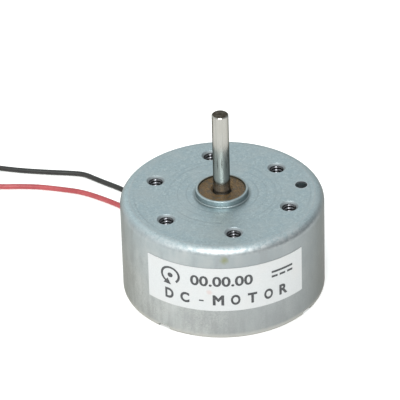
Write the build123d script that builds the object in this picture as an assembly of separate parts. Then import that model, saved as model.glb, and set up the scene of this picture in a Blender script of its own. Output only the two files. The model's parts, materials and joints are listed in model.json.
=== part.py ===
from build123d import *

import math
import os

# Small round-can brushed DC motor with two flying leads. Millimetres, +Z along the shaft.
# The origin is on the motor's axis at the can's open edge, on which the motor stands.

# ---- driving dimensions ----
CAN_R = 12.2
CAN_H = 12.5
CAN_WALL = 0.9
RIM_ROUND = 1.1
EDGE_ROUND = 0.3
BOSS_R = 3.15
BOSS_H = 0.8
SHAFT_R = 1.0
SHAFT_TOP = 23.6
SCREW_PCD = 17.0
SCREW_HOLE_R = 0.8
SCREW_MOUTH_R = 1.1
LOCATING_HOLE_R = 0.75
LOCATING_HOLE_AT = 9.6
LAMINATIONS = 8
POLES = 3
LEAD_D = 0.65
CORE_WIRE_R = 0.15

# ---- paper label ----
LABEL_FROM = -145
LABEL_TO = -50
LABEL_BOTTOM = 4.0
LABEL_TOP = 10.0
LABEL_T = 0.06

# ---- levels along the axis, from the open edge upwards ----
COVER_BOTTOM = 1.2
COVER_TOP = 1.9
HOLDER_TOP = 2.5
MAGNET_BOTTOM = 3.4
MAGNET_TOP = 10.6
STACK_BOTTOM = 6.1
LAMINATION_T = 0.45
STACK_TOP = STACK_BOTTOM + LAMINATIONS * LAMINATION_T
INSULATOR_T = 0.3
TANG_BOTTOM = 4.05
TANG_T = 0.25
COIL_OVERHANG = 0.85

# ---- radii ----
BORE_R = CAN_R - CAN_WALL
COVER_R = 11.6
BEARING_R = 2.85
REAR_BEARING_R = 2.3
JOURNAL_GAP = 0.03
MAGNET_INNER_R = 9.4
ROTOR_R = 9.1
COMMUTATOR_R = 1.8

# ---- rotor poles and holder pegs ----
NECK_W = 2.6
SHOE_HALF_ANGLE = 51
PEG_ANGLES = (75, 180, 285)
PEG_AT = 8.0
PEG_R = 1.0

# ---- features at the open edge ----
NOTCH_ANGLES = (45, 135, 225, 315)
NOTCH_W = 1.6
NOTCH_H = 0.45
LEAD_AZIMUTH = 114
LEAD_GAP = 1.1
LEAD_WINDOW_W = 3.9
LEAD_WINDOW_H = 1.25

# ---- brushes and terminals, in a frame whose +X points at the lead window ----
BRUSH_T = 0.15
BRUSH_FACE = COMMUTATOR_R + 0.03
BRUSH_BOTTOM = 2.65
BRUSH_H = 1.1
BRUSH_TIP = -1.4
POST_T = 0.3
POST_IN = 6.6
POST_OUT = 8.2
POST_TOP = 3.75
FOOT_OUT = 9.2
FOOT_BOTTOM = 0.9
LEAD_START = 9.5
LEAD_START_Z = FOOT_BOTTOM - CORE_WIRE_R - 0.05
CORE_WIRE_START = 7.5

# ---- the leads ----
LEAD_R = LEAD_D / 2
FLOOR_Z = LEAD_R
TIP_R = 0.2
TIP_LENGTH = 4.0
TIE_T = 0.12
TIE_ANGLE = 285
TIE_HALF_ANGLE = 10
COIL_CENTRE = (-33.5, 29.5)
COIL_TURN_R = 3.625
COIL_IN_R = COIL_TURN_R - LEAD_D
COIL_OUT_R = COIL_TURN_R + LEAD_D
BLACK_COIL_BOTTOM = TIE_T
RED_COIL_BOTTOM = BLACK_COIL_BOTTOM + 2 * LEAD_D

# Both routes start at the solder joint, drop to the surface and lie on it as far as the coil.
BLACK_ROUTE = [
    (-2.86, 9.13, LEAD_START_Z),
    (-3.71, 11.05, 0.62),
    (-4.76, 13.30, 0.42),
    (-6.05, 15.95, FLOOR_Z),
    (-7.60, 18.95, FLOOR_Z),
    (-9.40, 21.60, FLOOR_Z),
    (-11.30, 23.45, FLOOR_Z),
    (-12.60, 24.80, FLOOR_Z),
    (-13.70, 26.02, FLOOR_Z),
    (-15.40, 26.62, FLOOR_Z),
    (-18.30, 27.42, FLOOR_Z),
    (-21.30, 28.36, FLOOR_Z),
    (-24.30, 29.58, FLOOR_Z),
    (-27.20, 31.10, FLOOR_Z),
    (-30.00, 32.60, 0.38),
    (-32.81, 33.39, 0.445),
]
RED_ROUTE = [
    (-4.87, 8.23, LEAD_START_Z),
    (-5.72, 10.15, 0.62),
    (-6.70, 12.30, 0.42),
    (-8.00, 14.80, FLOOR_Z),
    (-9.55, 17.20, FLOOR_Z),
    (-11.50, 19.35, FLOOR_Z),
    (-14.40, 21.95, FLOOR_Z),
    (-17.00, 23.12, FLOOR_Z),
    (-19.60, 24.20, FLOOR_Z),
    (-22.30, 24.86, FLOOR_Z),
    (-25.00, 25.20, 0.36),
    (-27.20, 26.10, 0.74),
    (-28.55, 27.55, 1.45),
    (-29.35, 29.15, 1.82),
    (-29.79, 30.85, 1.77),
]
# The free ends leave the coil and come down to the surface beside it.
BLACK_TAIL = [
    (-37.05, 27.77, 1.095),
    (-36.45, 26.25, 0.95),
    (-35.95, 24.60, 0.62),
    (-35.75, 23.00, 0.35),
    (-35.95, 21.60, FLOOR_Z),
]
RED_TAIL = [
    (-37.45, 29.36, 2.40),
    (-37.45, 27.60, 2.20),
    (-37.75, 25.60, 1.60),
    (-38.15, 23.60, 0.90),
    (-38.35, 21.90, 0.42),
    (-38.20, 20.30, FLOOR_Z),
]


def disc(radius, bottom, top):
    """A round bar on the axis between two heights."""
    return Pos(0, 0, (bottom + top) / 2) * Cylinder(radius, top - bottom)


def ring(outer, inner, bottom, top):
    """A plain tube on the axis."""
    return disc(outer, bottom, top) - disc(inner, bottom, top)


def block(low, high):
    """A box between two corners."""
    size = [high[i] - low[i] for i in range(3)]
    middle = [(high[i] + low[i]) / 2 for i in range(3)]
    return Pos(*middle) * Box(*size)


def wedge(half_angle, reach):
    """A tall triangular prism that opens along +X from the axis."""
    half_width = reach * math.tan(math.radians(half_angle))
    outline = Polyline([(0, 0, 0), (reach, -half_width, 0), (reach, half_width, 0)], close=True)
    return extrude(make_face(outline), CAN_H)


def turned(outline, rounds=()):
    """A full turn about Z of a closed outline of (radius, height) points. rounds lists (point, radius)."""
    face = make_face(Polyline([(r, 0, z) for r, z in outline], close=True))
    for (r, z), radius in rounds:
        corner = face.vertices().sort_by_distance((r, 0, z))[0]
        face = fillet(corner, radius)
    return revolve(face, Axis.Z)


def lead_side(shape):
    """Turns a shape from the lead window's own frame into the motor's."""
    return Rot(Z=LEAD_AZIMUTH) * shape


def save(name, shape):
    """Writes one named piece."""
    export_step(shape, f"parts/{name}.step")


def group(shapes):
    """Several separate solids in one piece."""
    return Compound(children=list(shapes))


# ---- housing ----


def housing_can():
    """Drawn steel can: bearing boss, tapped holes, locating hole, staked open edge and lead window."""
    top, boss_top = CAN_H, CAN_H + BOSS_H
    inside_top = CAN_H - CAN_WALL
    outline = [
        (COVER_R, 0),
        (CAN_R, 0),
        (CAN_R, top),
        (BOSS_R, top),
        (BOSS_R, boss_top),
        (BEARING_R, boss_top),
        (BEARING_R, inside_top),
        (BORE_R, inside_top),
        (BORE_R, COVER_TOP),
        (COVER_R, COVER_TOP),
    ]
    rounds = [
        ((CAN_R, 0), EDGE_ROUND),
        ((CAN_R, top), RIM_ROUND),
        ((BOSS_R, top), 0.12),
        ((BOSS_R, boss_top), 0.12),
        ((BORE_R, inside_top), 0.4),
    ]
    can = turned(outline, rounds)
    collar_bottom = inside_top - 0.4
    mouth_depth = SCREW_MOUTH_R - SCREW_HOLE_R
    for k in range(6):
        place = Rot(Z=30 + 60 * k) * Pos(SCREW_PCD / 2, 0, 0)
        can += place * disc(SCREW_HOLE_R + 0.5, collar_bottom, inside_top)
        can -= place * disc(SCREW_HOLE_R, collar_bottom, top)
        mouth = Cone(SCREW_HOLE_R, SCREW_MOUTH_R, mouth_depth)
        can -= place * Pos(0, 0, top - mouth_depth / 2) * mouth
    can -= Pos(LOCATING_HOLE_AT, 0, 0) * disc(LOCATING_HOLE_R, inside_top - 1, top)
    for angle in NOTCH_ANGLES:
        stake = block((COVER_R - 0.7, -NOTCH_W / 2, 0.75), (COVER_R + 0.1, NOTCH_W / 2, COVER_BOTTOM))
        notch = block((COVER_R - 1, -NOTCH_W / 2, -1), (CAN_R + 1, NOTCH_W / 2, NOTCH_H))
        can += Rot(Z=angle) * stake
        can -= Rot(Z=angle) * notch
    window = block((CAN_R - 2, -LEAD_WINDOW_W / 2, -1), (CAN_R + 1, LEAD_WINDOW_W / 2, LEAD_WINDOW_H))
    return can - lead_side(window)


def front_bearing():
    """Sintered bronze bush pressed into the boss, with a wide mouth round the shaft."""
    bottom, top = MAGNET_TOP, CAN_H + BOSS_H - 0.15
    bore = SHAFT_R + JOURNAL_GAP
    outline = [
        (bore, bottom),
        (BEARING_R - 0.15, bottom),
        (BEARING_R, bottom + 0.15),
        (BEARING_R, top - 0.12),
        (BEARING_R - 0.12, top),
        (bore + 0.35, top),
        (bore, top - 0.3),
    ]
    return turned(outline)


def label():
    """Thin paper label wrapped round the front of the can."""
    band = ring(CAN_R + LABEL_T, CAN_R, LABEL_BOTTOM, LABEL_TOP)
    middle = (LABEL_FROM + LABEL_TO) / 2
    half_angle = (LABEL_TO - LABEL_FROM) / 2
    return band & Rot(Z=middle) * wedge(half_angle, CAN_R + 3)


def magnet_ring():
    """Bonded ferrite ring with one seam."""
    magnet = ring(BORE_R, MAGNET_INNER_R, MAGNET_BOTTOM, MAGNET_TOP)
    seam = block((MAGNET_INNER_R - 1, -0.3, 0), (BORE_R + 1, 0.3, MAGNET_TOP + 1))
    return magnet - Rot(Z=60) * seam


def end_cover():
    """Steel end plate with the rear bearing's cup, a terminal window and three peg holes."""
    cup_bottom = 0.15
    outline = [
        (0, cup_bottom),
        (REAR_BEARING_R + 0.6, cup_bottom),
        (REAR_BEARING_R + 0.6, COVER_BOTTOM),
        (COVER_R, COVER_BOTTOM),
        (COVER_R, COVER_TOP),
        (REAR_BEARING_R, COVER_TOP),
        (REAR_BEARING_R, cup_bottom + 0.45),
        (0, cup_bottom + 0.45),
    ]
    rounds = [
        ((REAR_BEARING_R + 0.6, cup_bottom), 0.3),
        ((REAR_BEARING_R + 0.6, COVER_BOTTOM), 0.2),
    ]
    cover = turned(outline, rounds)
    cover -= lead_side(block((6.0, -3.0, 0), (9.8, 3.0, 3)))
    for angle in PEG_ANGLES:
        cover -= Rot(Z=LEAD_AZIMUTH + angle) * Pos(PEG_AT, 0, 0) * disc(PEG_R, 1, 2)
    return cover


def rear_bearing():
    """Plain sintered bush in the end cover's cup."""
    return ring(REAR_BEARING_R, SHAFT_R + JOURNAL_GAP, 0.9, HOLDER_TOP)


def thrust_pad():
    """Nylon disc that carries the shaft's end."""
    return disc(REAR_BEARING_R, 0.6, 0.9)


def brush_holder():
    """Moulded plate on the end cover, with the terminal pad, pegs and the walls that grip the brushes."""
    holder = ring(BORE_R - 0.1, REAR_BEARING_R + 0.7, COVER_TOP, HOLDER_TOP)
    holder += ring(BORE_R - 0.1, 10.4, HOLDER_TOP, MAGNET_BOTTOM)
    post_face = BRUSH_FACE + BRUSH_T
    own = block((6.05, -2.95, COVER_BOTTOM), (9.75, 2.95, COVER_TOP))
    own += block((POST_IN, -BRUSH_FACE, HOLDER_TOP), (POST_OUT, BRUSH_FACE, POST_TOP))
    for side in (-1, 1):
        low, high = sorted((side * (post_face + POST_T), side * (post_face + POST_T + 0.9)))
        own += block((POST_IN - 0.3, low, HOLDER_TOP), (POST_OUT + 0.3, high, POST_TOP))
    holder += lead_side(own)
    for side in (-1, 1):
        low, high = sorted((side * post_face, side * (post_face + POST_T)))
        slot = block((POST_IN, low, COVER_BOTTOM), (POST_OUT, high, POST_TOP))
        low, high = sorted((side * BRUSH_FACE, side * post_face))
        slot += block((POST_IN, low, BRUSH_BOTTOM), (POST_OUT, high, POST_TOP))
        holder -= lead_side(slot)
    for angle in PEG_ANGLES:
        place = Rot(Z=LEAD_AZIMUTH + angle) * Pos(PEG_AT, 0, 0)
        holder += place * disc(PEG_R, COVER_BOTTOM, COVER_TOP)
        holder += place * disc(PEG_R + 0.4, FOOT_BOTTOM, COVER_BOTTOM)
    return holder


def terminal(side):
    """Bent brass strip: a post inside the motor and a solder foot under the cover."""
    post_face = BRUSH_FACE + BRUSH_T
    outer = post_face + POST_T
    low, high = sorted((side * post_face, side * outer))
    strip = block((POST_IN, low, COVER_BOTTOM), (POST_OUT, high, POST_TOP))
    low, high = sorted((side * 0.5, side * outer))
    strip += block((POST_IN, low, FOOT_BOTTOM), (FOOT_OUT, high, COVER_BOTTOM))
    return lead_side(strip)


def brush(side):
    """Leaf spring brush with three fingers, which bears on the side of the commutator."""
    low, high = sorted((side * BRUSH_FACE, side * (BRUSH_FACE + BRUSH_T)))
    leaf = block((BRUSH_TIP, low, BRUSH_BOTTOM), (POST_OUT, high, BRUSH_BOTTOM + BRUSH_H))
    for part in (1, 2):
        middle = BRUSH_BOTTOM + BRUSH_H * part / 3
        leaf -= block((BRUSH_TIP - 1, low - 1, middle - 0.06), (5.4, high + 1, middle + 0.06))
    return lead_side(leaf)


def brush_dampers():
    """Two rubber pads stuck to the backs of the brushes."""
    pads = []
    for side in (-1, 1):
        low, high = sorted((side * (BRUSH_FACE + BRUSH_T), side * (BRUSH_FACE + BRUSH_T + 0.6)))
        pad = block((2.6, low, BRUSH_BOTTOM + 0.05), (4.4, high, BRUSH_BOTTOM + BRUSH_H - 0.05))
        pads.append(lead_side(pad))
    return group(pads)


def core_wire(side):
    """The lead's bare strands under the terminal's foot."""
    length = LEAD_START - CORE_WIRE_START
    middle = (LEAD_START + CORE_WIRE_START) / 2
    bar = Pos(middle, side * LEAD_GAP, LEAD_START_Z) * Rot(Y=90) * Cylinder(CORE_WIRE_R, length)
    return lead_side(bar)


def solder(side):
    """A flattened bead of solder that joins the strands to the foot."""
    bead = Pos(8.0, side * LEAD_GAP, FOOT_BOTTOM) * scale(Sphere(1), by=(1.0, 0.52, 0.57))
    bead -= block((0, -9, FOOT_BOTTOM), (12, 9, 3))
    return lead_side(bead) - core_wire(side)


# ---- rotor ----


def shaft():
    """Ground steel shaft with a shallow oil groove, V-shaped, at the bearing's mouth."""
    end, groove_top = 0.95, CAN_H + BOSS_H
    groove_bottom = groove_top - 0.6
    groove_r = SHAFT_R - 0.07
    outline = [
        (0, end),
        (SHAFT_R - 0.25, end),
        (SHAFT_R, end + 0.15),
        (SHAFT_R, groove_bottom),
        (groove_r, groove_top - 0.3),
        (SHAFT_R, groove_top),
        (SHAFT_R, SHAFT_TOP - 0.12),
        (SHAFT_R - 0.12, SHAFT_TOP),
        (0, SHAFT_TOP),
    ]
    return turned(outline)


def pole_plate(bottom, thickness, trim):
    """Three-pole plate: hub, necks and pole shoes."""
    top = bottom + thickness
    shoe_in, shoe_out = ROTOR_R - 1.0 + trim, ROTOR_R - trim
    plate = disc(3.2, bottom, top)
    for k in range(POLES):
        neck = block((0, -NECK_W / 2, bottom), (shoe_in + 0.3, NECK_W / 2, top))
        shoe = ring(shoe_out, shoe_in, bottom, top) & wedge(SHOE_HALF_ANGLE, ROTOR_R + 3)
        plate += Rot(Z=120 * k) * (neck + shoe)
    return plate - disc(SHAFT_R, bottom, top)


def armature_coil(k):
    """One winding round its neck, wider towards the pole shoe."""
    bottom = STACK_BOTTOM - INSULATOR_T - COIL_OVERHANG
    top = STACK_TOP + INSULATOR_T + COIL_OVERHANG
    plan = Polyline([(3.4, -2.2, 0), (7.2, -3.2, 0), (7.2, 3.2, 0), (3.4, 2.2, 0)], close=True)
    coil = Pos(0, 0, bottom) * extrude(make_face(plan), top - bottom)
    coil = fillet(coil.edges().group_by(Axis.Z)[-1] + coil.edges().group_by(Axis.Z)[0], 0.45)
    window_low = (0, -NECK_W / 2, STACK_BOTTOM - INSULATOR_T)
    window_high = (12, NECK_W / 2, STACK_TOP + INSULATOR_T)
    return Rot(Z=120 * k) * (coil - block(window_low, window_high))


def commutator_segment(k):
    """Copper segment with the tang that its winding is soldered to."""
    segment = ring(COMMUTATOR_R, 1.5, 2.9, TANG_BOTTOM + TANG_T)
    segment &= wedge(57, 3)
    tang = block((1.6, -0.55, TANG_BOTTOM), (5.1, 0.55, TANG_BOTTOM + TANG_T))
    return Rot(Z=120 * k) * (segment + tang)


def riser_solder():
    """A flat bead of solder under each tang's end, clear of the brushes."""
    beads = []
    for k in range(POLES):
        bead = Pos(4.55, 0, TANG_BOTTOM) * scale(Sphere(1), by=(0.45, 0.45, 0.2))
        bead -= block((0, -9, TANG_BOTTOM), (12, 9, 9))
        beads.append(Rot(Z=120 * k) * bead)
    return group(beads)


def winding_ends():
    """Enamelled wire from each tang up to its winding."""
    low = TANG_BOTTOM + TANG_T
    high = STACK_BOTTOM - INSULATOR_T - COIL_OVERHANG
    return group(Rot(Z=120 * k) * Pos(4.85, 0, 0) * disc(0.12, low, high) for k in range(POLES))


# ---- leads ----


def route_radii(route):
    """The arc at each corner of a route, as large as its two runs allow."""
    points = [Vector(*p) for p in route]
    radii = []
    for before, here, after in zip(points, points[1:], points[2:]):
        half_turn = math.radians((here - before).get_angle(after - here)) / 2
        radii.append(0.45 * min((here - before).length, (after - here).length) / math.tan(half_turn))
    return radii


def lead_tube(name, route):
    """A lead's tube along straight runs and tangent arcs."""
    radii = route_radii(route)
    path = FilletPolyline([Vector(*p) for p in route], radius=radii)
    tube = sweep(Plane(path @ 0, z_dir=path % 0) * Circle(LEAD_R), path=path)
    share = tube.volume / (math.pi * LEAD_R**2 * path.length)
    listed = " ".join(f"{r:.1f}" for r in radii)
    print(f"{name}: length {path.length:.2f}, volume share {share:.4f}, radii {listed}")
    return tube


def lead_coil(bottom):
    """The outer shape of one lead's put-away turns, two wide and two high."""
    outline = [
        (COIL_IN_R, bottom),
        (COIL_OUT_R, bottom),
        (COIL_OUT_R, bottom + 2 * LEAD_D),
        (COIL_IN_R, bottom + 2 * LEAD_D),
    ]
    return Pos(*COIL_CENTRE, 0) * turned(outline)


def lead_tie():
    """A flat band round both coils."""
    top = RED_COIL_BOTTOM + 2 * LEAD_D
    band = ring(COIL_OUT_R + TIE_T, COIL_IN_R - TIE_T, 0, top + TIE_T)
    band -= ring(COIL_OUT_R, COIL_IN_R, TIE_T, top)
    return Pos(*COIL_CENTRE, 0) * Rot(Z=TIE_ANGLE) * (band & wedge(TIE_HALF_ANGLE, COIL_OUT_R + 3))


def tinned_tip(tail):
    """The bare tinned strands beyond a lead's free end."""
    end, before = Vector(*tail[-1]), Vector(*tail[-2])
    along = Vector(end.X - before.X, end.Y - before.Y, 0).normalized()
    face = Plane(end, z_dir=along)
    return extrude(face * Circle(TIP_R), TIP_LENGTH)


def main():
    os.makedirs("parts", exist_ok=True)
    bore = SHAFT_R
    save("housing_can", housing_can())
    save("front_bearing", front_bearing())
    save("label", label())
    save("magnet_ring", magnet_ring())
    save("end_cover", end_cover())
    save("rear_bearing", rear_bearing())
    save("thrust_pad", thrust_pad())
    save("brush_holder", brush_holder())
    save("brush_dampers", brush_dampers())
    for name, side in (("black", -1), ("red", 1)):
        save(f"terminal_{name}", terminal(side))
        save(f"brush_{name}", brush(side))
        save(f"solder_{name}", solder(side))
        save(f"lead_{name}_core", core_wire(side))

    save("shaft", shaft())
    for k in range(LAMINATIONS):
        plate = pole_plate(STACK_BOTTOM + k * LAMINATION_T, LAMINATION_T, 0)
        save(f"core_lamination_{k + 1}", plate)
    save("rear_insulator", pole_plate(STACK_BOTTOM - INSULATOR_T, INSULATOR_T, 0.25))
    save("front_insulator", pole_plate(STACK_TOP, INSULATOR_T, 0.25))
    for k in range(POLES):
        save(f"armature_coil_{k + 1}", armature_coil(k))
        save(f"commutator_segment_{k + 1}", commutator_segment(k))
    save("commutator_hub", ring(1.5, bore, 2.85, STACK_BOTTOM - INSULATOR_T))
    save("commutator_ring", ring(2.2, 1.5, TANG_BOTTOM + TANG_T, 4.8))
    save("varistor_disc", ring(4.4, 2.2, TANG_BOTTOM + TANG_T, 4.8))
    save("riser_solder", riser_solder())
    save("winding_ends", winding_ends())
    save("rear_washer", ring(1.7, bore, 2.6, 2.85))
    save("front_spacer", ring(1.6, bore, STACK_TOP + INSULATOR_T, MAGNET_TOP - 0.1))

    save("lead_black", lead_tube("lead_black", BLACK_ROUTE))
    save("lead_red", lead_tube("lead_red", RED_ROUTE))
    save("lead_black_coil", lead_coil(BLACK_COIL_BOTTOM))
    save("lead_red_coil", lead_coil(RED_COIL_BOTTOM))
    save("lead_black_tail", lead_tube("lead_black_tail", BLACK_TAIL))
    save("lead_red_tail", lead_tube("lead_red_tail", RED_TAIL))
    save("lead_black_tip", tinned_tip(BLACK_TAIL))
    save("lead_red_tip", tinned_tip(RED_TAIL))
    save("lead_tie", lead_tie())


main()
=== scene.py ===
import json
import math

import bmesh
import bpy
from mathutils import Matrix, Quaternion, Vector


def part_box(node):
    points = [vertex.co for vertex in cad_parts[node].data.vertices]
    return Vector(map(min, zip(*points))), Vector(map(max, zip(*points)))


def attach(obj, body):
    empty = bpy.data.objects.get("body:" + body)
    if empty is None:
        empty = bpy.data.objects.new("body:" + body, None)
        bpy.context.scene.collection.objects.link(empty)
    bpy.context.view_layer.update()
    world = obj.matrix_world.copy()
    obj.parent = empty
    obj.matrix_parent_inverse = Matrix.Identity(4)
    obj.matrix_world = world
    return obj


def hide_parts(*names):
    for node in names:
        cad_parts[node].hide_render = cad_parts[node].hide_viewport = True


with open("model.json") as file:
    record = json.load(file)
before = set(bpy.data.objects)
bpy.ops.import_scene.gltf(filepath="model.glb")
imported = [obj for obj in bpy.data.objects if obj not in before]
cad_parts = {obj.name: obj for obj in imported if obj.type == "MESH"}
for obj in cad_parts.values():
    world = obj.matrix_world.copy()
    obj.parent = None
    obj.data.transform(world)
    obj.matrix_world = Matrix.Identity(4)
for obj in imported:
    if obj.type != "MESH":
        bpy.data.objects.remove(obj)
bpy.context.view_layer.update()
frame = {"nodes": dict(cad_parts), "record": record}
MM = 0.001

# Places in the motor's own frame: millimetres, the shaft along +Z, the can's open edge at z = 0.
MOUNTS = {mount["name"]: mount for mount in frame["record"]["mounts"]}
CAN_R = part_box("housing_can")[1].x / MM
FACE_Z = MOUNTS["mounting_holes"]["pos_m"][2] / MM
SCREW_RING_R = MOUNTS["mounting_holes"]["dims"]["pcd_mm"] / 2
SCREW_HOLE_R = MOUNTS["mounting_holes"]["dims"]["hole_r_mm"]
BOSS_R = MOUNTS["pilot_boss"]["dims"]["r_mm"]
BOSS_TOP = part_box("housing_can")[1].z / MM
BEARING_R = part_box("front_bearing")[1].x / MM
SHAFT_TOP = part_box("shaft")[1].z / MM
LABEL_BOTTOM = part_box("label")[0].z / MM


# ---- camera ----

CAMERA_AIM = Vector((-1.84, 5.77, 8.02)) * MM
CAMERA_DISTANCE = 400 * MM
CAMERA_HEADING = 81.9
CAMERA_DIP = 33.47
CAMERA_ROLL = -1.68
LENS_MM = 296.9
SENSOR_MM = 36


def make_camera():
    """A long lens that looks down on the motor's front from its lead side."""
    data = bpy.data.cameras.new("camera")
    data.lens = LENS_MM
    data.sensor_width = SENSOR_MM
    data.clip_start = 0.01
    data.clip_end = 10
    camera = bpy.data.objects.new("camera", data)
    heading, dip = math.radians(CAMERA_HEADING), math.radians(CAMERA_DIP)
    look = Vector((math.cos(heading) * math.cos(dip), math.sin(heading) * math.cos(dip), -math.sin(dip)))
    camera.location = CAMERA_AIM - look * CAMERA_DISTANCE
    camera.rotation_mode = "QUATERNION"
    roll = Quaternion((0, 0, 1), math.radians(CAMERA_ROLL))
    camera.rotation_quaternion = look.to_track_quat("-Z", "Y") @ roll
    bpy.context.scene.collection.objects.link(camera)
    bpy.context.scene.camera = camera


# ---- leads ----

LEAD_D = 0.65
FLOOR_Z = LEAD_D / 2
LEAD_START_Z = 0.70
COIL_CENTRE = Vector((-33.5, 29.5, 0))
COIL_TURN_R = 3.625
POINTS_PER_TURN = 16
# The turns of the coil in their order, each as its step outwards and upwards in lead diameters.
LANES = ((0.5, 0.0), (-0.5, 0.0), (-0.5, 1.0), (0.5, 1.0))
# A turn changes lane a little sooner round than the one before, so that turns don't cut through.
LANE_LENGTH = 0.86
LANE_CHANGE = 0.05
TIP_LENGTH = 4.0
STRAND_R = 0.066
STRAND_TURNS = 0.95
STRAND_STEPS = 40
# The angle at which each lead joins the coil, its turns, and the height of its lower turns.
BLACK_COIL = (80, 3.35, 0.445)
RED_COIL = (20, 3.45, 1.745)

BLACK_ROUTE = [
    (-2.86, 9.13, LEAD_START_Z),
    (-3.71, 11.05, 0.62),
    (-4.76, 13.30, 0.42),
    (-6.05, 15.95, FLOOR_Z),
    (-7.60, 18.95, FLOOR_Z),
    (-9.40, 21.60, FLOOR_Z),
    (-11.30, 23.45, FLOOR_Z),
    (-12.60, 24.80, FLOOR_Z),
    (-13.70, 26.02, FLOOR_Z),
    (-15.40, 26.62, FLOOR_Z),
    (-18.30, 27.42, FLOOR_Z),
    (-21.30, 28.36, FLOOR_Z),
    (-24.30, 29.58, FLOOR_Z),
    (-27.20, 31.10, FLOOR_Z),
    (-30.00, 32.60, 0.38),
    (-32.81, 33.39, 0.445),
]
RED_ROUTE = [
    (-4.87, 8.23, LEAD_START_Z),
    (-5.72, 10.15, 0.62),
    (-6.70, 12.30, 0.42),
    (-8.00, 14.80, FLOOR_Z),
    (-9.55, 17.20, FLOOR_Z),
    (-11.50, 19.35, FLOOR_Z),
    (-14.40, 21.95, FLOOR_Z),
    (-17.00, 23.12, FLOOR_Z),
    (-19.60, 24.20, FLOOR_Z),
    (-22.30, 24.86, FLOOR_Z),
    (-25.00, 25.20, 0.36),
    (-27.20, 26.10, 0.74),
    (-28.55, 27.55, 1.45),
    (-29.35, 29.15, 1.82),
    (-29.79, 30.85, 1.77),
]
BLACK_TAIL = [
    (-37.05, 27.77, 1.095),
    (-36.45, 26.25, 0.95),
    (-35.95, 24.60, 0.62),
    (-35.75, 23.00, 0.35),
    (-35.95, 21.60, FLOOR_Z),
]
RED_TAIL = [
    (-37.45, 29.36, 2.40),
    (-37.45, 27.60, 2.20),
    (-37.75, 25.60, 1.60),
    (-38.15, 23.60, 0.90),
    (-38.35, 21.90, 0.42),
    (-38.20, 20.30, FLOOR_Z),
]


def ray(degrees):
    """A level unit vector at an angle from +X."""
    angle = math.radians(degrees)
    return Vector((math.cos(angle), math.sin(angle), 0))


def smooth_step(value, low, high):
    """0 below low, 1 above high, and a smooth turn between them."""
    share = min(1.0, max(0.0, (value - low) / (high - low)))
    return share * share * (3 - 2 * share)


def coil_points(enters, turns, lower_z):
    """A lead's turns round the coil, two wide and two high, from the angle at which it enters."""
    count = round(turns * POINTS_PER_TURN)
    points = []
    for i in range(1, count):
        turned = turns * i / count
        out, up = LANES[0]
        for k in range(1, len(LANES)):
            change = LANE_LENGTH * k
            share = smooth_step(turned, change - LANE_CHANGE, change + LANE_CHANGE)
            out += share * (LANES[k][0] - LANES[k - 1][0])
            up += share * (LANES[k][1] - LANES[k - 1][1])
        radius = (COIL_TURN_R + out * LEAD_D) / math.cos(math.pi / POINTS_PER_TURN)
        place = COIL_CENTRE + radius * ray(enters + 360 * turned)
        points.append((place.x, place.y, lower_z + up * LEAD_D))
    return points


def spline_curve(name, points, radius):
    """A round tube on one smooth open NURBS spline, its radius held by the points. All in millimetres."""
    data = bpy.data.curves.new(name, "CURVE")
    data.dimensions = "3D"
    data.bevel_depth = 1
    data.bevel_resolution = 5
    data.use_fill_caps = True
    data.resolution_u = 6
    spline = data.splines.new("NURBS")
    spline.points.add(len(points) - 1)
    for point, place in zip(spline.points, points):
        point.co = (*(Vector(place) * MM), 1)
        point.radius = radius * MM
    spline.order_u = 3
    spline.use_endpoint_u = True
    piece = bpy.data.objects.new(name, data)
    bpy.context.scene.collection.objects.link(piece)
    return piece


def mesh_piece(name, vertices, faces, smooth=True):
    """A mesh object from vertices in millimetres."""
    data = bpy.data.meshes.new(name)
    data.from_pydata([Vector(v) * MM for v in vertices], [], faces)
    data.validate()
    if smooth:
        data.shade_smooth()
    else:
        data.shade_flat()
    piece = bpy.data.objects.new(name, data)
    bpy.context.scene.collection.objects.link(piece)
    return piece


def tube_mesh(paths, radius, sides):
    """Vertices and faces of round tubes along lists of points, with closed ends."""
    vertices, faces = [], []
    for path in paths:
        first = len(vertices)
        for i, point in enumerate(path):
            ahead = (path[min(i + 1, len(path) - 1)] - path[max(i - 1, 0)]).normalized()
            side = ahead.orthogonal() if abs(ahead.z) > 0.95 else ahead.cross((0, 0, 1))
            side.normalize()
            rise = side.cross(ahead)
            for k in range(sides):
                angle = 2 * math.pi * k / sides
                vertices.append(point + radius * (math.cos(angle) * side + math.sin(angle) * rise))
        for i in range(len(path) - 1):
            for k in range(sides):
                a, b = first + i * sides + k, first + i * sides + (k + 1) % sides
                faces.append((a, a + sides, b + sides, b))
        last = first + (len(path) - 1) * sides
        faces.append(tuple(range(first, first + sides)))
        faces.append(tuple(range(last + sides - 1, last - 1, -1)))
    return vertices, faces


def tinned_strands(name, tail):
    """Seven twisted strands that stand out of a lead's free end, drawn together by the tinning."""
    end, before = Vector(tail[-1]), Vector(tail[-2])
    along = Vector((end.x - before.x, end.y - before.y, 0)).normalized()
    side, up = along.cross((0, 0, 1)), Vector((0, 0, 1))
    middle = [end + along * TIP_LENGTH * i / STRAND_STEPS for i in range(STRAND_STEPS + 1)]
    paths = [middle]
    for k in range(6):
        path = []
        for i, centre in enumerate(middle):
            share = i / STRAND_STEPS
            angle = math.radians(60 * k) + 2 * math.pi * STRAND_TURNS * share
            reach = 2 * STRAND_R * (1 - 0.25 * smooth_step(share, 0.75, 1.0))
            path.append(centre + reach * (math.cos(angle) * side + math.sin(angle) * up))
        paths.append(path)
    return mesh_piece(name, *tube_mesh(paths, STRAND_R, 10))


# ---- tie ----

TIE_HEADING = 285
TIE_HALF_W = 0.55
TIE_T = 0.11
TIE_GAP = 0.01
TIE_TOP_Z = 2.73
TIE_CORNER_R = 0.30
TIE_WIRE_R = 0.15
TIE_END_LENGTH = 3.0
TIE_END_OUT = 0.06
TIE_END_Z = 1.35
TIE_END_DROP = 1.0
TIE_END_TURNS = 2.5
TIE_END_STEPS = 48


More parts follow.
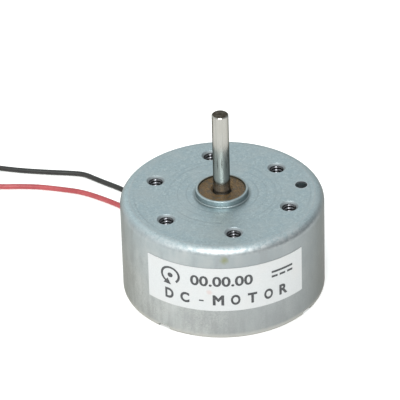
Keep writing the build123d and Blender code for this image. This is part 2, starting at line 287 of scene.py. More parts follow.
def round_corners(low, high, radius):
    """A closed outline of a rectangle with rounded corners, from two opposite corners."""
    outline = []
    corners = ((high[0], high[1]), (low[0], high[1]), (low[0], low[1]), (high[0], low[1]))
    for quarter, (x, z) in enumerate(corners):
        centre_x = x + (radius if x == low[0] else -radius)
        centre_z = z + (radius if z == low[1] else -radius)
        for step in range(7):
            angle = math.radians(90 * quarter + 15 * step)
            outline.append((centre_x + radius * math.cos(angle), centre_z + radius * math.sin(angle)))
    return outline


def make_tie():
    """A plastic-covered wire tie: a band round the coil and two twisted ends that lie outwards."""
    out, along = ray(TIE_HEADING), ray(TIE_HEADING + 90)
    near, far = COIL_TURN_R - LEAD_D - TIE_GAP, COIL_TURN_R + LEAD_D + TIE_GAP
    foot = TIE_GAP / 2
    inner = round_corners((near, foot + TIE_T), (far, TIE_TOP_Z), TIE_CORNER_R)
    outer = round_corners((near - TIE_T, foot), (far + TIE_T, TIE_TOP_Z + TIE_T), TIE_CORNER_R + TIE_T)
    vertices, faces = [], []
    for inside, outside in zip(inner, outer):
        for reach, z in (inside, outside):
            for side in (-TIE_HALF_W, TIE_HALF_W):
                vertices.append(COIL_CENTRE + out * reach + along * side + Vector((0, 0, z)))
    count = len(inner)
    for i in range(count):
        a, b = 4 * i, 4 * ((i + 1) % count)
        for p, q in ((0, 1), (1, 3), (3, 2), (2, 0)):
            faces.append((a + p, b + p, b + q, a + q))
    ends = []
    for turn in (0, math.pi):
        path = []
        for i in range(TIE_END_STEPS + 1):
            share = i / TIE_END_STEPS
            lift = TIE_END_Z - TIE_END_DROP * smooth_step(share, 0.1, 0.9)
            spread = TIE_WIRE_R + 0.22 * smooth_step(share, 0.8, 1.0)
            angle = turn + 2 * math.pi * TIE_END_TURNS * min(share, 0.85)
            centre = COIL_CENTRE + out * (far + TIE_END_OUT + TIE_END_LENGTH * share) + Vector((0, 0, lift))
            path.append(centre + spread * (math.cos(angle) * along + Vector((0, 0, math.sin(angle) * 0.8))))
        ends.append(path)
    more_vertices, more_faces = tube_mesh(ends, TIE_WIRE_R, 10)
    first = len(vertices)
    vertices += more_vertices
    faces += [tuple(first + k for k in face) for face in more_faces]
    tie = mesh_piece("lead_tie_band", vertices, faces)
    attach(tie, "stator")
    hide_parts("lead_tie")
    return tie


def make_leads():
    """Both leads from their solder joints along the surface, round the coil, to their free ends."""
    leads = {}
    tie = make_tie()
    plans = [
        ("black", BLACK_ROUTE, BLACK_TAIL, coil_points(*BLACK_COIL)),
        ("red", RED_ROUTE, RED_TAIL, coil_points(*RED_COIL)),
    ]
    for colour, route, tail, turns in plans:
        lead = spline_curve(f"lead_{colour}_insulation", route + turns + tail, LEAD_D / 2)
        tip = tinned_strands(f"lead_{colour}_strands", tail)
        for piece in (lead, tip):
            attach(piece, "stator")
        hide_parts(f"lead_{colour}", f"lead_{colour}_coil", f"lead_{colour}_tail")
        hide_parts(f"lead_{colour}_tip")
        leads[colour] = (lead, tip)
    return leads, tie


# ---- screw threads ----

THREAD_PITCH = 0.4
THREAD_DEPTH = 0.11
THREAD_TURNS = 3
THREAD_STEPS = 28
THREAD_TOP = FACE_Z - 0.22
# The ridge's outline: how far in it stands, as a share of its depth, and how far down, of its pitch.
THREAD_PROFILE = ((0, 0), (1, 0.31), (1, 0.43), (0, 0.96))


def make_threads():
    """Helical ridges that stand in from the walls of the six tapped holes."""
    vertices, faces = [], []
    root, crest = SCREW_HOLE_R + 0.01, SCREW_HOLE_R - THREAD_DEPTH
    for hole in range(6):
        middle = SCREW_RING_R * ray(30 + 60 * hole)
        first = len(vertices)
        for i in range(THREAD_STEPS * THREAD_TURNS + 1):
            turned = i / THREAD_STEPS
            for inward, drop in THREAD_PROFILE:
                place = middle + (root + inward * (crest - root)) * ray(360 * turned)
                place.z = THREAD_TOP - THREAD_PITCH * (turned + drop)
                vertices.append(place)
        for i in range(THREAD_STEPS * THREAD_TURNS):
            a = first + 4 * i
            for k in range(3):
                faces.append((a + k, a + k + 1, a + k + 5, a + k + 4))
    threads = mesh_piece("screw_threads", vertices, faces, smooth=False)
    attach(threads, "stator")
    return threads


# ---- label print ----

PRINT_R = CAN_R + 0.065
CAP_HEIGHT = 1.45
UPPER_LINE = LABEL_BOTTOM + 3.45
LOWER_LINE = LABEL_BOTTOM + 0.80
# Where each sign starts and ends round the can, in degrees. The word's span is from its first letter's
# middle to its last letter's middle.
ARROW_SPAN = (-136.5, -123.5)
ZEROS_SPAN = (-117.5, -82.6)
CURRENT_SPAN = (-71.5, -57.5)
WORD = "DC-MOTOR"
WORD_SPAN = (-130.4, -64.0)
LETTER_WIDTH = 1.15
OTHER_WIDTHS = {"-": 0.55, "M": 1.35}


def embolden(flat, reach):
    """Moves a flat sign's outline out by reach."""
    moves = {}
    for v in flat.verts:
        outward = []
        for edge in v.link_edges:
            if edge.is_boundary:
                middle = (edge.verts[0].co + edge.verts[1].co) / 2
                out = (edge.verts[1].co - edge.verts[0].co).cross((0, 0, 1)).normalized()
                inside = edge.link_faces[0].calc_center_median() - middle
                outward.append(-out if inside.dot(out) > 0 else out)
        if len(outward) == 2:
            corner = max(0.5, 1 + outward[0].dot(outward[1]))
            moves[v] = (outward[0] + outward[1]) * reach / corner
    for v, move in moves.items():
        v.co += move


def lettering(text, weight):
    """A flat mesh of the text, its corner at the origin, and one unit high."""
    curve = bpy.data.curves.new("lettering", "FONT")
    curve.body = text
    curve.resolution_u = 4
    source = bpy.data.objects.new("lettering", curve)
    bpy.context.scene.collection.objects.link(source)
    flat = bmesh.new()
    flat.from_mesh(source.evaluated_get(bpy.context.evaluated_depsgraph_get()).to_mesh())
    bpy.data.objects.remove(source)
    embolden(flat, weight)
    low = Vector((min(v.co.x for v in flat.verts), min(v.co.y for v in flat.verts), 0))
    high = max(v.co.y for v in flat.verts)
    for v in flat.verts:
        v.co = (v.co - low) / (high - low.y)
    return flat


def turning_arrow():
    """A round arrow about a dot: the plain sign for a turning shaft, one unit high."""
    flat = bmesh.new()
    centre, steps, tail_end, head_end = Vector((0.55, 0.5, 0)), 40, -50, 235
    flat.faces.new([flat.verts.new(centre + 0.13 * ray(18 * k)) for k in range(20)])
    inner, outer = [], []
    for i in range(steps + 1):
        outward = ray(tail_end + (head_end - tail_end) * i / steps)
        inner.append(flat.verts.new(centre + 0.37 * outward))
        outer.append(flat.verts.new(centre + 0.48 * outward))
    for i in range(steps):
        flat.faces.new((inner[i], outer[i], outer[i + 1], inner[i + 1]))
    outward, ahead = ray(head_end), ray(head_end + 90)
    head = [centre + 0.24 * outward, centre + 0.62 * outward, centre + 0.42 * outward + 0.34 * ahead]
    flat.faces.new([flat.verts.new(p) for p in head])
    return flat


def direct_current_sign():
    """The plain sign for direct current: a bar over three dashes, one unit high."""
    flat = bmesh.new()
    for left, right, low in ((0, 2.2, 0.62), (0, 0.6, 0.18), (0.8, 1.4, 0.18), (1.6, 2.2, 0.18)):
        corners = ((left, low), (right, low), (right, low + 0.2), (left, low + 0.2))
        flat.faces.new([flat.verts.new((x, y, 0)) for x, y in corners])
    return flat


def wrap_print(target, flat, span, base, height):
    """Bends a flat sign round the label between two angles in degrees, and adds it to target."""
    start, end = span
    width = max(v.co.x for v in flat.verts)
    reach = math.radians(end - start) * PRINT_R
    for v in flat.verts:
        v.co = Vector((v.co.x / width * reach, v.co.y * height, 0))
    bmesh.ops.triangulate(flat, faces=flat.faces[:])
    step = 0.4
    for k in range(1, math.ceil(reach / step)):
        every = flat.verts[:] + flat.edges[:] + flat.faces[:]
        bmesh.ops.bisect_plane(flat, geom=every, plane_co=(step * k, 0, 0), plane_no=(1, 0, 0))
    for v in flat.verts:
        angle = math.radians(start) + v.co.x / PRINT_R
        v.co = Vector((PRINT_R * math.cos(angle), PRINT_R * math.sin(angle), base + v.co.y)) * MM
    sheet = bpy.data.meshes.new("sheet")
    flat.to_mesh(sheet)
    flat.free()
    target.from_mesh(sheet)
    bpy.data.meshes.remove(sheet)


def make_print():
    """A plain word, a row of zeros and two plain signs: a turning shaft and direct current."""
    ink = bmesh.new()
    wrap_print(ink, turning_arrow(), ARROW_SPAN, UPPER_LINE - 0.55, 2.5)
    wrap_print(ink, lettering("00.00.00", weight=0.026), ZEROS_SPAN, UPPER_LINE, CAP_HEIGHT)
    wrap_print(ink, direct_current_sign(), CURRENT_SPAN, UPPER_LINE - 0.05, CAP_HEIGHT)
    first, last = WORD_SPAN
    for k, letter in enumerate(WORD):
        half = math.degrees(OTHER_WIDTHS.get(letter, LETTER_WIDTH) / 2 / PRINT_R)
        middle = first + (last - first) * k / (len(WORD) - 1)
        base, height = (LOWER_LINE + 0.5, 0.2) if letter == "-" else (LOWER_LINE, CAP_HEIGHT)
        span = (middle - half, middle + half)
        wrap_print(ink, lettering(letter, weight=0.042), span, base, height)
    data = bpy.data.meshes.new("label_print")
    ink.to_mesh(data)
    ink.free()
    piece = bpy.data.objects.new("label_print", data)
    bpy.context.scene.collection.objects.link(piece)
    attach(piece, "stator")
    return piece


# ---- stage ----

ROOM_AT_LEFT = (0.93, 0.98, 1.0, 1)
ROOM_AT_RIGHT = (0.42, 0.45, 0.47, 1)
FLOOR_REACH = 2000


def area_light(name, place, width, height, power, colour=(1, 1, 1)):
    """A soft oblong light that faces the motor. Its place and sides are in metres, its power in watts."""
    data = bpy.data.lights.new(name, "AREA")
    data.shape = "RECTANGLE"
    data.size = width
    data.size_y = height
    data.energy = power
    data.color = colour
    light = bpy.data.objects.new(name, data)
    light.location = place
    light.rotation_mode = "QUATERNION"
    light.rotation_quaternion = (Vector((0, 0, 0.01)) - Vector(place)).to_track_quat("-Z", "Y")
    bpy.context.scene.collection.objects.link(light)


def make_surroundings():
    """Pale room light, darker towards the motor's right."""
    world = bpy.data.worlds.new("surroundings")
    world.use_nodes = True
    nodes, links = world.node_tree.nodes, world.node_tree.links
    direction = nodes.new("ShaderNodeSeparateXYZ")
    links.new(nodes.new("ShaderNodeTexCoord").outputs["Generated"], direction.inputs[0])
    ramp = nodes.new("ShaderNodeValToRGB")
    ramp.color_ramp.elements[0].color = ROOM_AT_LEFT
    ramp.color_ramp.elements[1].color = ROOM_AT_RIGHT
    across = nodes.new("ShaderNodeMapRange")
    across.inputs["From Min"].default_value = -0.2
    across.inputs["From Max"].default_value = 0.9
    links.new(direction.outputs[0], across.inputs[0])
    links.new(across.outputs[0], ramp.inputs[0])
    background = nodes["Background"]
    links.new(ramp.outputs[0], background.inputs["Color"])
    background.inputs["Strength"].default_value = 1.05
    bpy.context.scene.world = world


def make_stage():
    """A pale floor, pale surroundings and soft lights."""
    corners = ((-1, -1), (1, -1), (1, 1), (-1, 1))
    vertices = [(FLOOR_REACH * x, FLOOR_REACH * y, 0) for x, y in corners]
    floor = mesh_piece("floor", vertices, [(0, 1, 2, 3)], smooth=False)
    material = bpy.data.materials.new("floor_paper")
    material.use_nodes = True
    shader = material.node_tree.nodes["Principled BSDF"]
    shader.inputs["Base Color"].default_value = (0.93, 0.92, 0.90, 1)
    shader.inputs["Roughness"].default_value = 0.9
    shader.inputs["Specular IOR Level"].default_value = 0.1
    shader.inputs["Emission Color"].default_value = (1, 0.99, 0.97, 1)
    shader.inputs["Emission Strength"].default_value = 0.25
    floor.data.materials.append(material)
    make_surroundings()
    bpy.context.scene.view_settings.view_transform = "Standard"
    cool_white = (0.96, 0.99, 1.0)
    area_light("key", (-0.08, -0.33, 0.50), width=0.30, height=0.22, power=1.60, colour=cool_white)
    area_light("front_strip", (-0.02, -0.50, 0.32), width=0.28, height=0.12, power=0.52)
    area_light("left_fill", (-0.55, -0.20, 0.30), width=0.40, height=0.40, power=0.30)


# ---- materials ----


class Shader:
    """A material fed by noise, ramps and bumps in the piece's own coordinates."""

    def __init__(self, name, colour, roughness, metallic=0.0, **uniform):
        self.material = bpy.data.materials.new(name)
        self.material.use_nodes = True
        self.tree = self.material.node_tree
        self.bsdf = self.tree.nodes["Principled BSDF"]
        self.bsdf.inputs["Base Color"].default_value = (*colour, 1)
        self.bsdf.inputs["Roughness"].default_value = roughness
        self.bsdf.inputs["Metallic"].default_value = metallic
        for socket, value in uniform.items():
            self.bsdf.inputs[socket.replace("_", " ")].default_value = value
        self.place = self.node("ShaderNodeTexCoord").outputs["Object"]
        self.normal = None

    def node(self, kind, **settings):
        made = self.tree.nodes.new(kind)
        for key, value in settings.items():
            setattr(made, key, value)
        return made

    def feed(self, socket, value):
        """Links an output, or sets a plain value."""
        if isinstance(value, bpy.types.NodeSocket):
            self.tree.links.new(value, socket)
        else:
            socket.default_value = value

    def math(self, operation, *values):
        made = self.node("ShaderNodeMath", operation=operation)
        for socket, value in zip(made.inputs, values):
            self.feed(socket, value)
        return made.outputs[0]

    def noise(self, size_mm, detail=2.0, stretch=(1, 1, 1), roughness=0.5):
        """Noise from 0 to 1 with features of that size, drawn out along an axis of small stretch."""
        stretched = self.node("ShaderNodeVectorMath", operation="MULTIPLY")
        self.feed(stretched.inputs[0], self.place)
        stretched.inputs[1].default_value = tuple(s / (size_mm * MM) for s in stretch)
        made = self.node("ShaderNodeTexNoise")
        self.feed(made.inputs["Vector"], stretched.outputs[0])
        made.inputs["Scale"].default_value = 1.0
        made.inputs["Detail"].default_value = detail
        made.inputs["Roughness"].default_value = roughness
        return made.outputs["Fac"]

    def spread(self, value, low, high, to_low=0.0, to_high=1.0):
        """value, mapped from low..high to to_low..to_high and kept inside them."""
        made = self.node("ShaderNodeMapRange")
        for socket, number in zip(made.inputs, (value, low, high, to_low, to_high)):
            self.feed(socket, number)
        return made.outputs[0]

    def blend(self, first, second, share):
        """Two colours mixed by a share."""
        made = self.node("ShaderNodeMix", data_type="RGBA")
        self.feed(made.inputs[0], share)
        for socket, value in ((made.inputs[6], first), (made.inputs[7], second)):
            self.feed(socket, value if isinstance(value, bpy.types.NodeSocket) else (*value, 1))
        return made.outputs[2]

    def polar(self):
        """Angle in radians, radius and height about the shaft's axis, the last two in metres."""
        parts = self.node("ShaderNodeSeparateXYZ")
        self.feed(parts.inputs[0], self.place)
        x, y, z = parts.outputs
        squares = self.math("ADD", self.math("MULTIPLY", x, x), self.math("MULTIPLY", y, y))
        return self.math("ARCTAN2", y, x), self.math("SQRT", squares), z

    def off(self, value, at_mm):
        """How far a length in metres is from that many millimetres."""
        return self.math("ABSOLUTE", self.math("SUBTRACT", value, at_mm * MM))

    def to_screw_hole(self, angle, radius):
        """Distance from the axis of the nearest tapped hole."""
        sector = self.math("WRAP", angle, math.pi / 3, 0.0)
        sector = self.math("SUBTRACT", sector, math.pi / 6)
        out = self.math("MULTIPLY", radius, self.math("COSINE", sector))
        out = self.math("SUBTRACT", out, SCREW_RING_R * MM)
        aside = self.math("MULTIPLY", radius, self.math("SINE", sector))
        squares = self.math("ADD", self.math("MULTIPLY", out, out), self.math("MULTIPLY", aside, aside))
        return self.math("SQRT", squares)

    def facing(self, angle, heading):
        """The cosine of the turn between an angle in radians and a heading in degrees."""
        return self.math("COSINE", self.math("SUBTRACT", angle, math.radians(heading)))

    def near(self, heading, radius, height, ragged, inner_mm, outer_mm):
        """1 at a place given by its heading, radius and height, and 0 past a ragged outline."""
        made = self.node("ShaderNodeVectorMath", operation="DISTANCE")
        self.feed(made.inputs[0], self.place)
        made.inputs[1].default_value = (radius * ray(heading) + Vector((0, 0, height))) * MM
        away = self.math("ADD", made.outputs["Value"], self.math("MULTIPLY", ragged, 0.4 * MM))
        return self.spread(away, (inner_mm + 0.1) * MM, (outer_mm + 0.1) * MM, 1.0, 0.0)

    def bump(self, height, depth_mm):
        """Adds a bump of that depth over the ones before it."""
        made = self.node("ShaderNodeBump")
        made.inputs["Strength"].default_value = 1.0
        made.inputs["Distance"].default_value = depth_mm * MM
        self.feed(made.inputs["Height"], height)
        if self.normal is not None:
            self.feed(made.inputs["Normal"], self.normal)
        self.normal = made.outputs[0]
        self.feed(self.bsdf.inputs["Normal"], self.normal)

    def turned(self, amount):
        """Stretches the gloss across fine marks that run round the shaft's axis."""
        self.bsdf.inputs["Anisotropic"].default_value = amount
        self.bsdf.inputs["Anisotropic Rotation"].default_value = 0.25
        tangent = self.node("ShaderNodeTangent", direction_type="RADIAL", axis="Z")
        self.feed(self.bsdf.inputs["Tangent"], tangent.outputs[0])

    def colour(self, value):
        self.feed(self.bsdf.inputs["Base Color"], value)

    def rough(self, value):
        self.feed(self.bsdf.inputs["Roughness"], value)


# Faint rings pressed into the can's face: radius and half width.
FACE_RINGS = ((4.30, 0.14), (5.35, 0.10), (6.45, 0.18), (7.10, 0.10), (10.55, 0.16))
FLAT_FACE_R = CAN_R - 1.12
ROUNDING_R = CAN_R - 0.5
LOCATING_HOLE_R = 9.6
# Marks of handling on the can and its label, as heading and height; then where the painted rim highlight
# and the painted side shade face.
STAIN = (-98.2, 11.13)
SMUDGE = (-107.0, 6.6)
RIM_HIGHLIGHT_HEADING = -96
SHADED_SIDE_HEADING = -35


def zinc_plate(name):
    """Zinc-plated steel: its shader and tone, and the grain, crystals and clouds that mottle it."""
    s = Shader(name, (0.4, 0.45, 0.46), 0.42, 1.0, Specular_Tint=(0.42, 0.41, 0.38, 1))
    grain = s.noise(0.20, 4.0, roughness=0.75)
    crystals = s.noise(0.60, 3.0, roughness=0.65)
    clouds = s.noise(3.2, 3.0, roughness=0.55)
    tone = s.blend((0.358, 0.435, 0.450), (0.555, 0.645, 0.660), s.spread(grain, 0.36, 0.64))
    tone = s.blend(tone, (0.405, 0.500, 0.530), s.spread(crystals, 0.44, 0.62, 0.0, 0.75))
    tone = s.blend(tone, (0.505, 0.555, 0.555), s.spread(clouds, 0.45, 0.72, 0.0, 0.5))
    return s, tone, grain, crystals, clouds


def zinc_cover():
    """The end cover's plating, plain and mottled."""
    s, tone, grain, crystals, clouds = zinc_plate("zinc_plated_cover")
    s.colour(tone)
    s.rough(s.spread(clouds, 0.3, 0.7, 0.36, 0.46))
    s.bump(crystals, 0.020)
    s.bump(grain, 0.010)
    return s.material


def drawn_wall(s, grain, clouds, streaks, angle, height):
    """The tone of the can's side: drawn upwards, scuffed near its foot, and painted darker to one side as
    painted shade.
    """
    tone = s.blend((0.315, 0.325, 0.316), (0.450, 0.462, 0.450), s.spread(grain, 0.34, 0.66))
    tone = s.blend(tone, (0.320, 0.330, 0.322), s.spread(streaks, 0.50, 0.70, 0.0, 0.6))
    tone = s.blend(tone, (0.410, 0.428, 0.424), s.spread(clouds, 0.45, 0.70, 0.0, 0.6))
    near_foot = s.spread(height, 0.8 * MM, 4.2 * MM, 1.0, 0.0)
    scuffs = s.math("MULTIPLY", s.spread(streaks, 0.42, 0.60), near_foot)
    tone = s.blend(tone, (0.260, 0.262, 0.250), s.math("MULTIPLY", scuffs, 0.28))
    tone = s.blend(tone, (0.345, 0.390, 0.405), s.spread(height, 5 * MM, 11 * MM, 0.0, 0.7))
    blotches = s.noise(1.6, 2.0, (1, 1, 0.45), 0.6)
    tone = s.blend(tone, (0.470, 0.480, 0.472), s.spread(blotches, 0.50, 0.68, 0.0, 0.45))
    tone = s.blend(tone, (0.275, 0.282, 0.282), s.spread(blotches, 0.34, 0.47, 0.35, 0.0))
    # painted shade: the side is painted darker towards one heading, for light falling from the other side
    painted_side_shade = s.math("ADD", s.facing(angle, SHADED_SIDE_HEADING), s.math("MULTIPLY", clouds, 0.3))
    tone = s.blend(tone, (0.245, 0.262, 0.268), s.spread(painted_side_shade, 0.1, 1.2, 0.0, 0.75))
    return s.blend(tone, (0.47, 0.46, 0.43), s.spread(height, 0.35 * MM, 0.75 * MM, 0.75, 0.0))


def zinc_can():
    """The can's plating: ringed round the boss, handled and a little stained, with painted highlights on
    its rounding and face edge, painted shade on the boss's side and at the tapped holes' mouths, and
    painted light in the locating hole.
    """
    s, tone, grain, crystals, clouds = zinc_plate("zinc_plated_can")
    angle, radius, height = s.polar()
    streaks = s.noise(0.6, 3.0, (1, 1, 0.12))

    on_side = s.spread(radius, (CAN_R - 0.6) * MM, (CAN_R - 0.1) * MM)
    tone = s.blend(tone, drawn_wall(s, grain, clouds, streaks, angle, height), on_side)
    # painted highlight: a thin lighter line where the flat face turns into the rounding
    face_edge_highlight = s.spread(s.off(radius, FLAT_FACE_R), 0, 0.13 * MM, 0.45, 0.0)
    tone = s.blend(tone, (0.50, 0.52, 0.52), face_edge_highlight)
    rounded = s.spread(s.off(radius, ROUNDING_R), 0.2 * MM, 0.7 * MM, 1.0, 0.0)
    rounded = s.math("MULTIPLY", rounded, s.spread(height, (FACE_Z - 1.1) * MM, (FACE_Z - 0.4) * MM))
    # painted highlight: the front of the rim's rounding is painted lighter in grains, for the glint of the
    # lamps
    highlight_at_front = s.spread(s.facing(angle, RIM_HIGHLIGHT_HEADING), 0.45, 0.90, 0.12, 1.0)
    painted_rim_highlight = s.math("MULTIPLY", rounded, highlight_at_front)
    painted_rim_highlight = s.math("MULTIPLY", painted_rim_highlight, s.spread(crystals, 0.42, 0.60, 0.0, 0.55))
    tone = s.blend(tone, (0.72, 0.72, 0.70), painted_rim_highlight)

    rings = 0.0
    for ring_r, half_width in FACE_RINGS:
        ring = s.spread(s.off(radius, ring_r), 0, half_width * MM, 1.0, 0.0)
        rings = s.math("ADD", rings, ring)
    rings = s.math("MULTIPLY", rings, s.spread(s.noise(6.0, 0.0), 0.35, 0.65))
    tone = s.blend(tone, (0.30, 0.355, 0.375), s.math("MULTIPLY", rings, 0.40))

    bore_edge = s.spread(s.off(radius, BEARING_R + 0.03), 0.03 * MM, 0.10 * MM, 0.75, 0.0)
    tone = s.blend(tone, (0.22, 0.20, 0.16), bore_edge)
    # painted shade: the boss's side and foot are painted darker
    outside_top = s.spread(radius, (BOSS_R - 0.10) * MM, (BOSS_R + 0.05) * MM)
    inside_foot = s.spread(radius, (BOSS_R + 0.15) * MM, (BOSS_R + 0.45) * MM, 1.0, 0.0)
    painted_boss_shade = s.math("MULTIPLY", outside_top, inside_foot)
    tone = s.blend(tone, (0.24, 0.28, 0.285), s.math("MULTIPLY", painted_boss_shade, 0.85))

    to_hole = s.to_screw_hole(angle, radius)
    # painted shade: the mouths of the tapped holes are painted darker, and near black at the bore's edge
    by_hole = s.spread(to_hole, 1.00 * MM, 1.16 * MM, 1.0, 0.0)
    tone = s.blend(tone, (0.34, 0.37, 0.38), by_hole)
    tone = s.blend(tone, (0.03, 0.03, 0.032), s.spread(to_hole, 0.82 * MM, 0.90 * MM, 1.0, 0.0))
    # painted light: the locating hole's mouth is painted pale, standing for the lit inside of the hole
    locating_hole = s.near(0, LOCATING_HOLE_R, FACE_Z, 0.0, 0.66, 0.70)
    tone = s.blend(tone, (0.78, 0.80, 0.82), locating_hole)
    heading, stain_z = STAIN
    stain = s.near(heading, CAN_R, stain_z, s.noise(0.5, 2.0), 0.20, 0.75)
    s.colour(s.blend(tone, (0.23, 0.25, 0.12), s.math("MULTIPLY", stain, 0.75)))

    gloss = s.spread(clouds, 0.3, 0.7, 0.36, 0.46)
    gloss = s.math("SUBTRACT", gloss, s.math("MULTIPLY", on_side, 0.054))
    gloss = s.math("ADD", gloss, s.math("MULTIPLY", rounded, 0.07))
    s.rough(s.math("ADD", gloss, s.math("MULTIPLY", by_hole, 0.30)))
    s.bump(rings, 0.008)
    s.bump(crystals, 0.020)
    s.bump(grain, 0.010)
    s.bump(s.math("MULTIPLY", streaks, on_side), 0.006)
    return s.material


def sintered_bronze():
    """Pressed and oiled bronze powder, dark between its grains, with painted shade round the bore and a
    painted highlight on its outer edge.
    """
    s = Shader("sintered_bronze", (0.2, 0.15, 0.09), 0.5, 0.8)
    s.turned(0.7)
    _, radius, _ = s.polar()
    grain = s.noise(0.10, 3.0, roughness=0.7)
    patches = s.noise(0.55, 3.0, roughness=0.6)
    tone = s.blend((0.070, 0.044, 0.022), (0.285, 0.178, 0.076), s.spread(grain, 0.38, 0.64))
    tone = s.blend(tone, (0.100, 0.098, 0.085), s.spread(patches, 0.46, 0.66, 0.0, 0.7))
    # painted shade: near black round the bore, where the shaft enters
    tone = s.blend(tone, (0.014, 0.011, 0.008), s.spread(radius, 1.04 * MM, 1.18 * MM, 1.0, 0.0))
    # painted highlight: the bearing's outer edge is painted lighter
    painted_bearing_edge_highlight = s.spread(radius, (BEARING_R - 0.15) * MM, (BEARING_R - 0.05) * MM, 0.0, 0.8)
    s.colour(s.blend(tone, (0.30, 0.27, 0.20), painted_bearing_edge_highlight))
    s.rough(s.spread(patches, 0.3, 0.7, 0.34, 0.50))
    s.bump(grain, 0.02)
    return s.material


def ground_steel():
    """Centreless-ground shaft with fine marks round it, a sawn end, and a dull stretch by the bearing."""
    s = Shader("ground_steel", (0.5, 0.5, 0.48), 0.2, 1.0, Specular_Tint=(0.12, 0.13, 0.12, 1))
    s.turned(0.45)
    _, _, height = s.polar()
    marks = s.noise(0.07, 2.0, (0.15, 0.15, 1))
    clouds = s.noise(0.8, 2.0, (1, 1, 0.3))
    drawn = s.noise(0.22, 1.0, (1, 1, 0.01))
    tone = s.blend((0.385, 0.373, 0.340), (0.435, 0.422, 0.392), s.spread(clouds, 0.3, 0.7))
    tone = s.blend(tone, (0.285, 0.285, 0.265), s.spread(drawn, 0.50, 0.62, 0.0, 0.45))
    on_end = s.spread(height, (SHAFT_TOP - 0.03) * MM, (SHAFT_TOP - 0.01) * MM)
    end_tone = s.blend((0.085, 0.075, 0.060), (0.18, 0.165, 0.14), s.spread(s.noise(0.35, 3.0), 0.35, 0.7))
    s.colour(s.blend(tone, end_tone, on_end))
    by_bearing = s.spread(height, (BOSS_TOP + 0.1) * MM, (BOSS_TOP + 1.3) * MM, 1.0, 0.0)
    dull = s.math("ADD", s.math("MULTIPLY", on_end, 0.2), s.math("MULTIPLY", by_bearing, 0.22))
    s.rough(s.math("ADD", s.spread(clouds, 0.3, 0.7, 0.12, 0.17), dull))
    s.bump(marks, 0.0006)
    return s.material


def label_paper():
    """White coated paper with faint fibres and handling marks."""
    s = Shader("label_paper", (0.75, 0.75, 0.74), 0.55)
    fibres = s.noise(0.12, 3.0)
    clouds = s.noise(2.6, 2.0)
    tone = s.blend((0.505, 0.510, 0.506), (0.560, 0.565, 0.561), s.spread(fibres, 0.3, 0.7))
    tone = s.blend(tone, (0.550, 0.536, 0.522), s.spread(clouds, 0.50, 0.75, 0.0, 0.6))
    heading, smudge_z = SMUDGE
    smudge = s.near(heading, CAN_R, smudge_z, s.noise(0.4, 2.0), 0.25, 0.55)
    s.colour(s.blend(tone, (0.52, 0.36, 0.33), s.math("MULTIPLY", smudge, 0.5)))
    s.rough(s.spread(fibres, 0.3, 0.7, 0.45, 0.6))
    s.bump(fibres, 0.003)
    return s.material


def printing_ink():
    """Dark grey print, a little uneven."""
    s = Shader("printing_ink", (0.05, 0.05, 0.05), 0.5)
    s.colour(s.blend((0.030, 0.031, 0.033), (0.085, 0.087, 0.090), s.spread(s.noise(0.15, 3.0), 0.4, 0.75)))
    return s.material


def plastic(name, dark, light, roughness, grain_mm=0.15, depth_mm=0.004, **uniform):
    """Moulded or extruded plastic with a fine grain."""
    s = Shader(name, light, roughness, **uniform)
    grain = s.noise(grain_mm, 2.0)
    clouds = s.noise(grain_mm * 12, 2.0)
    mottle = s.math("ADD", s.math("MULTIPLY", grain, 0.5), clouds)
    s.colour(s.blend(dark, light, s.spread(mottle, 0.5, 1.0)))
    s.rough(s.spread(grain, 0.3, 0.7, roughness - 0.06, roughness + 0.06))
    s.bump(grain, depth_mm)
    return s.material


def metal(name, dark, light, roughness, grain_mm=0.2, stretch=(1, 1, 1), depth_mm=0.003):
    """Plain metal whose colour and gloss vary with its grain."""
    s = Shader(name, light, roughness, 1.0)
    grain = s.noise(grain_mm, 3.0, stretch)
    s.colour(s.blend(dark, light, s.spread(grain, 0.3, 0.7)))
    s.rough(s.spread(grain, 0.3, 0.7, roughness - 0.07, roughness + 0.07))
    s.bump(grain, depth_mm)
    return s.material


def dress(material, *names):
    """Gives CAD nodes or new pieces a material."""
    for name in names:
        piece = name if isinstance(name, bpy.types.Object) else frame["nodes"][name]
        if piece.material_slots:
            for place in piece.material_slots:
                place.material = material
        else:
            piece.data.materials.append(material)


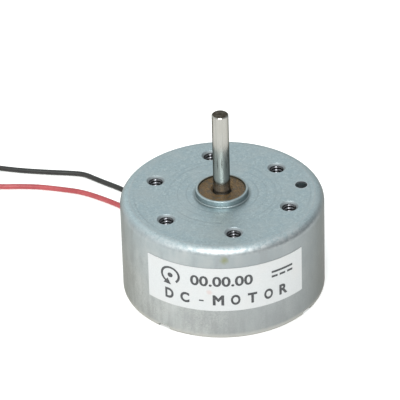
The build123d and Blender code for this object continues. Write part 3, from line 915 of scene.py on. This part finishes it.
def dress_all(leads, tie, threads, label_print):
    """Every CAD node and new piece gets the finish of its own part."""
    dress(zinc_can(), "housing_can")
    dress(zinc_cover(), "end_cover")
    # painted shade: the thread steel is far darker than bare steel, for the shade inside the tapped holes
    cut_steel = metal("cut_steel", (0.05, 0.05, 0.052), (0.16, 0.16, 0.17), 0.17, 0.25)
    dress(cut_steel, threads)
    dress(printing_ink(), label_print)
    dress(sintered_bronze(), "front_bearing", "rear_bearing")
    dress(ground_steel(), "shaft")
    dress(label_paper(), "label")
    dress(plastic("bonded_ferrite", (0.10, 0.10, 0.105), (0.17, 0.17, 0.175), 0.5), "magnet_ring")
    white_nylon = plastic("natural_nylon", (0.70, 0.68, 0.62), (0.80, 0.78, 0.73), 0.4)
    dress(white_nylon, "thrust_pad", "rear_washer", "front_spacer")
    black_resin = plastic("holder_resin", (0.012, 0.012, 0.013), (0.03, 0.03, 0.032), 0.45)
    dress(black_resin, "brush_holder", "commutator_hub", "commutator_ring")
    dress(plastic("rubber_pad", (0.015, 0.015, 0.015), (0.03, 0.03, 0.03), 0.8), "brush_dampers")
    bronze = metal("spring_bronze", (0.55, 0.33, 0.15), (0.72, 0.45, 0.22), 0.3, 0.15, (1, 1, 0.1))
    dress(bronze, "brush_black", "brush_red", "terminal_black", "terminal_red")
    solder = metal("solder_tin", (0.55, 0.56, 0.57), (0.78, 0.79, 0.80), 0.3, 0.12)
    dress(solder, "solder_black", "solder_red", "riser_solder", "lead_black_core", "lead_red_core")
    laminations = [f"core_lamination_{k}" for k in range(1, 9)]
    dress(metal("silicon_steel", (0.16, 0.17, 0.19), (0.30, 0.31, 0.34), 0.4), *laminations)
    fibre = plastic("insulator_film", (0.04, 0.12, 0.20), (0.07, 0.20, 0.30), 0.5)
    dress(fibre, "front_insulator", "rear_insulator")
    enamel = metal(
        "enamelled_copper", (0.40, 0.12, 0.04), (0.60, 0.22, 0.09), 0.25, 0.12, (1, 1, 0.2), depth_mm=0.01
    )
    dress(enamel, "armature_coil_1", "armature_coil_2", "armature_coil_3", "winding_ends")
    copper = metal("commutator_copper", (0.60, 0.28, 0.16), (0.75, 0.38, 0.24), 0.25, 0.1, (0.1, 0.1, 1))
    dress(copper, "commutator_segment_1", "commutator_segment_2", "commutator_segment_3")
    dress(plastic("varistor_ceramic", (0.06, 0.06, 0.07), (0.10, 0.10, 0.12), 0.6), "varistor_disc")
    dress(plastic("tie_ribbon", (0.020, 0.055, 0.035), (0.035, 0.090, 0.055), 0.45), tie)
    insulation = {
        "black": plastic("black_pvc", (0.010, 0.010, 0.008), (0.020, 0.019, 0.016), 0.45),
        "red": plastic("red_pvc", (0.34, 0.045, 0.050), (0.44, 0.075, 0.080), 0.36),
    }
    for colour, (lead, tip) in leads.items():
        dress(insulation[colour], lead)
        dress(solder, tip)


make_camera()
leads, tie = make_leads()
make_stage()
dress_all(leads, tie, make_threads(), make_print())
